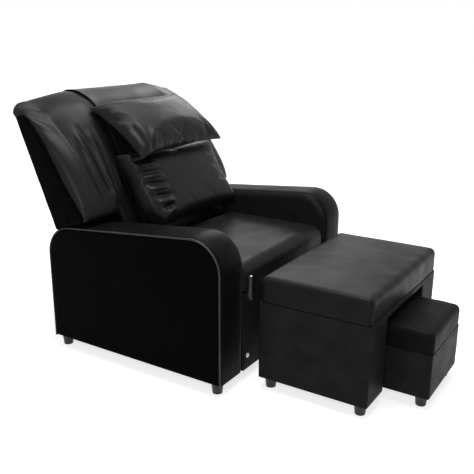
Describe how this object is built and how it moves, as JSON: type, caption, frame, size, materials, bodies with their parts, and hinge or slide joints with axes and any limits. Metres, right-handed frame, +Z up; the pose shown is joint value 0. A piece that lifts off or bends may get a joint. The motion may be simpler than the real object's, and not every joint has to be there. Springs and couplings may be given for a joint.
{
  "type": "pedicure spa chair",
  "caption": "Reclining upholstered salon armchair with head pillow, lumbar cushion, leg ottoman and a foot stool that tucks into its bay.",
  "frame": {"origin": "on the floor, under the centre of the set's outer box (chair with ottoman and foot stool in place, back as in the picture)", "axes": "+Z up; the sitter faces -Y and the ottoman and foot stool stand in front along -Y; +X is the sitter's left"},
  "size_m": [0.97, 1.5731, 0.9899],
  "materials": {
    "leatherette_cover": "satin",
    "leatherette_foam": "satin",
    "piping": "satin",
    "plywood": "matte",
    "hardwood": "matte",
    "covered_panel": "satin",
    "zinc_steel": "satin",
    "black_steel": "gloss",
    "chrome_trim": "polished",
    "nylon": "matte",
    "black_plastic": "matte",
    "woven_black": "matte"
  },
  "bodies": {
    "chair": {"arm_cover_right": "leatherette_cover", "arm_cover_left": "leatherette_cover", "arm_inner_board_right": "plywood", "arm_inner_board_left": "plywood", "arm_outer_board_right": "plywood", "arm_outer_board_left": "plywood", "arm_battens": "plywood", "arm_piping": "piping", "seat_side_rail_right": "hardwood", "seat_side_rail_left": "hardwood", "seat_front_rail": "hardwood", "seat_rear_rail": "hardwood", "seat_springs": "zinc_steel", "seat_spring_clips": "zinc_steel", "seat_cushion": "leatherette_foam", "front_apron": "leatherette_cover", "base_rear_panel": "leatherette_cover", "base_dust_cover": "woven_black", "frame_bolts": "zinc_steel", "chair_feet": "black_plastic", "strut_cross_rail": "hardwood", "strut_lower_bracket": "zinc_steel", "strut_lower_pin": "zinc_steel", "hinge_brackets": "zinc_steel", "hinge_pins": "zinc_steel", "apron_cap": "chrome_trim", "lever_bracket": "chrome_trim"},
    "back": {"back_stile_right": "hardwood", "back_stile_left": "hardwood", "back_wing_board_right": "plywood", "back_wing_board_left": "plywood", "back_top_rail": "hardwood", "back_wing_rail": "hardwood", "back_lower_rail": "hardwood", "back_webbing": "woven_black", "back_pad": "leatherette_foam", "back_wing_cover_right": "leatherette_cover", "back_wing_cover_left": "leatherette_cover", "back_rear_cover": "leatherette_cover", "hinge_plates": "zinc_steel", "hinge_bushes": "nylon", "strut_upper_bracket": "zinc_steel", "strut_upper_pin": "zinc_steel", "head_runner": "leatherette_cover"},
    "pillow": {"head_pillow": "leatherette_foam"},
    "lumbar": {"lumbar_cushion": "leatherette_foam"},
    "lever": {"release_lever": "chrome_trim"},
    "strut_tube": {"strut_cylinder": "black_steel"},
    "strut_piston": {"strut_rod": "chrome_trim"},
    "ottoman": {"ottoman_side_right": "covered_panel", "ottoman_side_left": "covered_panel", "ottoman_rear_panel": "covered_panel", "ottoman_top_board": "plywood", "ottoman_cushion": "leatherette_foam", "ottoman_feet": "black_plastic"},
    "stool": {"stool_case": "covered_panel", "stool_top_board": "plywood", "stool_cushion": "leatherette_foam", "stool_feet": "black_plastic"}
  },
  "joints": [
    {"name": "recline", "type": "hinge", "parent": "chair", "child": "back", "pos_m": [0, 0.52304, 0.38762], "axis": [-1, 0, 0], "range_deg": [-8, 40]},
    {"name": "strut_swing", "type": "hinge", "parent": "chair", "child": "strut_tube", "pos_m": [0, 0.14304, 0.18], "axis": [1, 0, 0], "range_deg": [-1, 3]},
    {"name": "strut_stroke", "type": "slide", "parent": "strut_tube", "child": "strut_piston", "axis": [0, 0.9493, 0.3145], "range_m": [-0.05, 0.012]},
    {"name": "lever_pull", "type": "hinge", "parent": "chair", "child": "lever", "pos_m": [-0.29, -0.16596, 0.312], "axis": [1, 0, 0], "range_deg": [0, 20], "stiffness_Nm_per_rad": 0.6, "springref_deg": -20.05},
    {"name": "pillow_slide", "type": "slide", "parent": "back", "child": "pillow", "axis": [0, 0.829, 0.5592], "range_m": [-0.035, 0.018]},
    {"name": "lumbar_shift", "type": "slide", "parent": "back", "child": "lumbar", "axis": [1, 0, 0], "range_m": [-0.03, 0.03]},
    {"name": "ottoman_slide", "type": "slide", "parent": "chair", "child": "ottoman", "axis": [0, 1, 0], "range_m": [-0.3, 0.015]},
    {"name": "stool_slide", "type": "slide", "parent": "ottoman", "child": "stool", "axis": [0, 1, 0], "range_m": [-0.35, 0.15]}
  ],
  "couplings": [
    {"joint": "strut_swing", "follows": "recline", "ratio": 0.068},
    {"joint": "strut_stroke", "follows": "recline", "m_per_rad": -0.0695}
  ]
}
